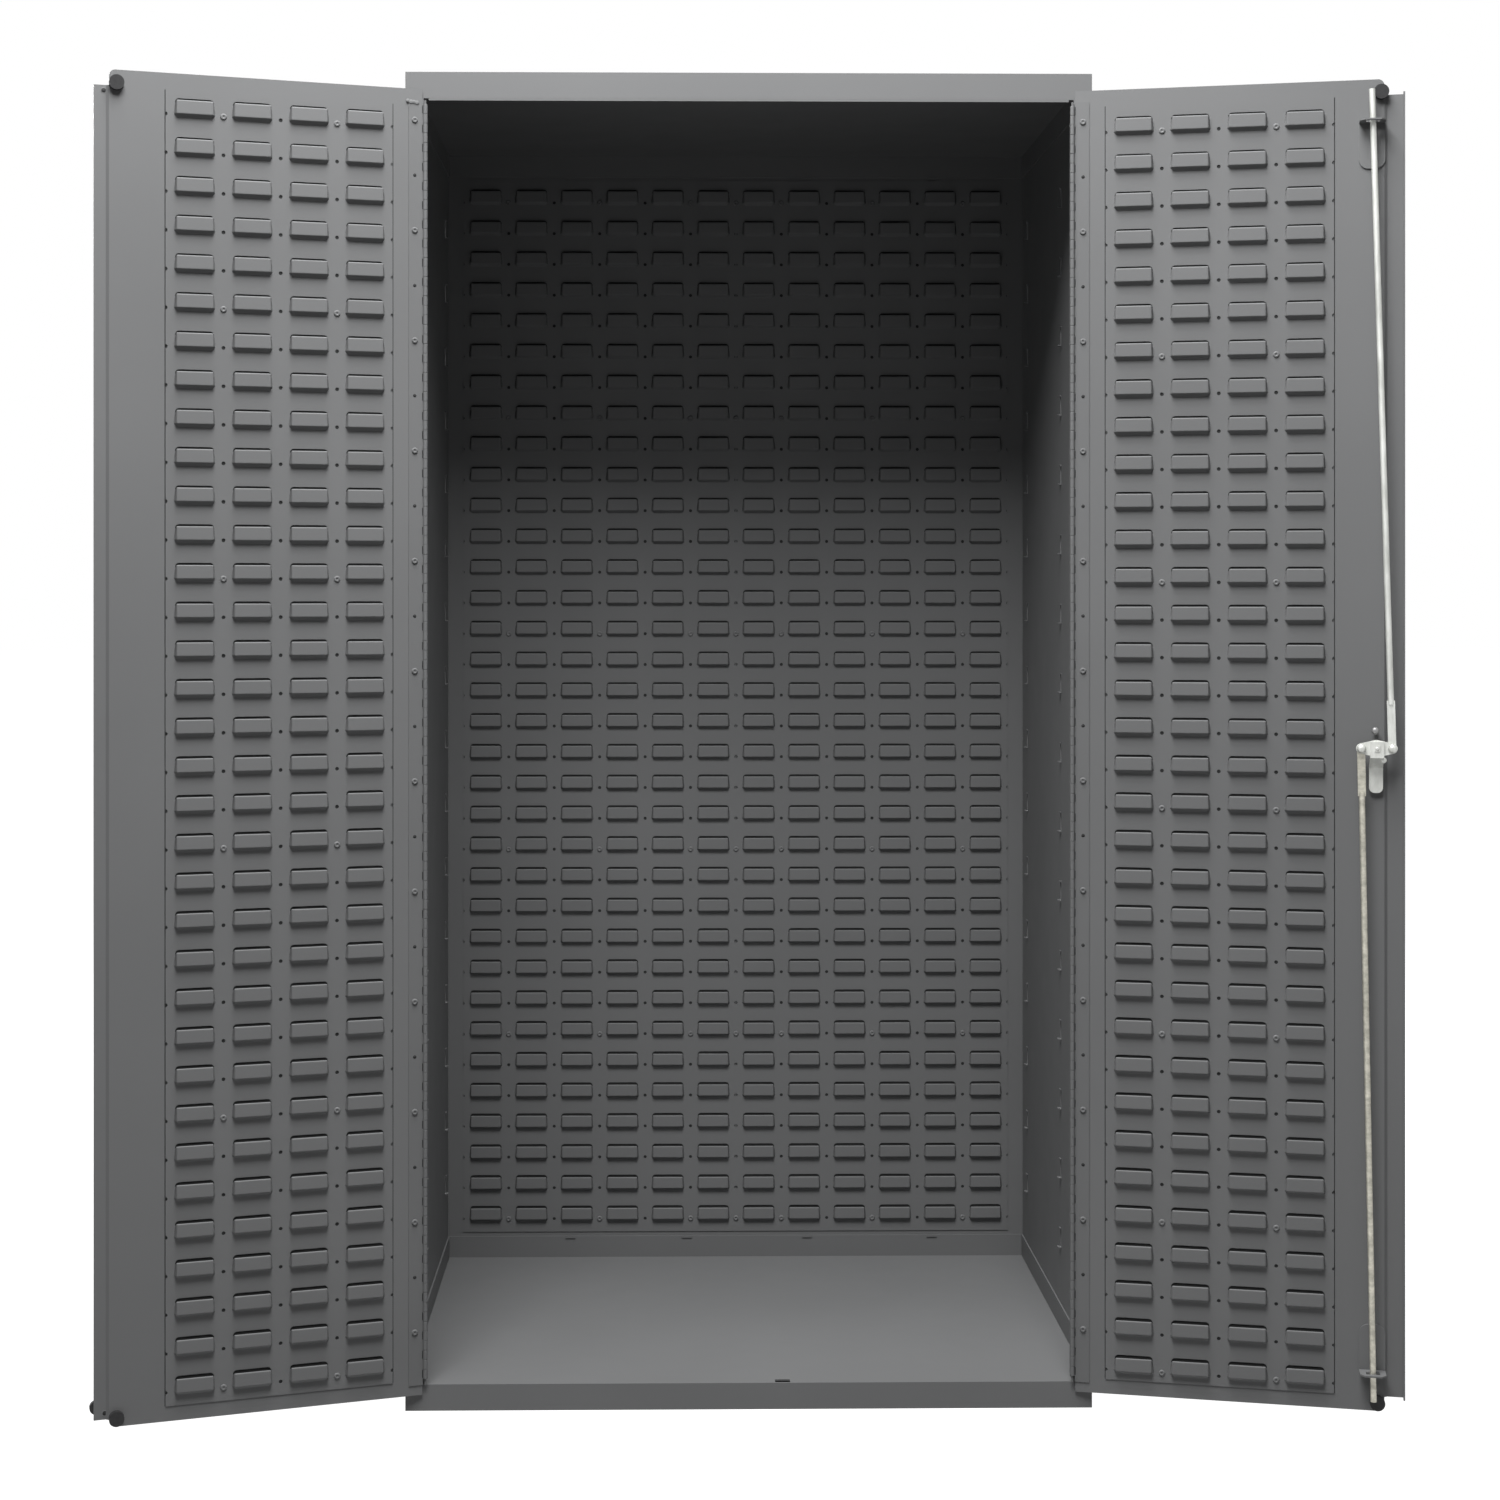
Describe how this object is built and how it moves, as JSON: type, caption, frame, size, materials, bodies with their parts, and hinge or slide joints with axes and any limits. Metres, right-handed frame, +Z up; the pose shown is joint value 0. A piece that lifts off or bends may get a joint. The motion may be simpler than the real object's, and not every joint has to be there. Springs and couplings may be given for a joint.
{
  "type": "louvered storage cabinet",
  "caption": "Tall steel cabinet with two swing doors, louvered panels on the back and doors for hanging bins, continuous hinges and a three-point rod latch.",
  "frame": {"origin": "middle of the cabinet's footprint, on the floor, at the flat foot of the channel under the deck", "axes": "+Z up; front of the cabinet and its doors towards -Y; +X to the right seen from the front"},
  "size_m": [1.6963, 0.7391, 1.778],
  "materials": {
    "grey_paint": "satin",
    "hinge_paint": "satin",
    "zinc_plate": "satin",
    "handle_metal": "polished",
    "bumper_rubber": "matte"
  },
  "bodies": {
    "cabinet": {"side_panel_left": "grey_paint", "side_panel_right": "grey_paint", "base_tray": "grey_paint", "roof_tray": "grey_paint", "back_panel": "grey_paint", "floor_support": "grey_paint", "back_louver_panel_left": "grey_paint", "back_louver_panel_right": "grey_paint", "frame_leaf_left": "hinge_paint", "frame_leaf_right": "hinge_paint", "hinge_pin_left": "zinc_plate", "hinge_pin_right": "zinc_plate"},
    "left_door": {"door_left": "grey_paint", "door_leaf_left": "hinge_paint", "door_louver_panel_left": "grey_paint", "bumpers_left": "bumper_rubber"},
    "right_door": {"door_right": "grey_paint", "door_leaf_right": "hinge_paint", "door_louver_panel_right": "grey_paint", "bumpers_right": "bumper_rubber", "rod_guide_top": "grey_paint", "rod_guide_bottom": "grey_paint", "escutcheon": "handle_metal"},
    "latch": {"latch_cam": "zinc_plate", "latch_finger": "zinc_plate", "latch_spindle": "zinc_plate", "door_handle": "handle_metal"},
    "upper_rod": {"lock_rod_upper": "zinc_plate"},
    "lower_rod": {"lock_rod_lower": "zinc_plate"}
  },
  "joints": [
    {"name": "left_door_hinge", "type": "hinge", "parent": "cabinet", "child": "left_door", "pos_m": [-0.4299, -0.3101, 0.89], "axis": [0, 0, 1], "range_deg": [-12, 163]},
    {"name": "right_door_hinge", "type": "hinge", "parent": "cabinet", "child": "right_door", "pos_m": [0.4299, -0.3101, 0.89], "axis": [0, 0, -1], "range_deg": [-7, 168]},
    {"name": "latch_turn", "type": "hinge", "parent": "right_door", "child": "latch", "pos_m": [0.81128, -0.39116, 0.885], "axis": [-0.2079, -0.9781, 0], "range_deg": [0, 90]},
    {"name": "upper_rod_pivot", "type": "hinge", "parent": "latch", "child": "upper_rod", "pos_m": [0.83035, -0.39522, 0.885], "axis": [-0.2079, -0.9781, 0], "range_deg": [-92, 0]},
    {"name": "lower_rod_pivot", "type": "hinge", "parent": "latch", "child": "lower_rod", "pos_m": [0.79221, -0.38711, 0.885], "axis": [-0.2079, -0.9781, 0], "range_deg": [-92, 0]}
  ],
  "couplings": [
    {"joint": "upper_rod_pivot", "follows": "latch_turn", "ratio": -1.0152},
    {"joint": "lower_rod_pivot", "follows": "latch_turn", "ratio": -1.0154}
  ]
}
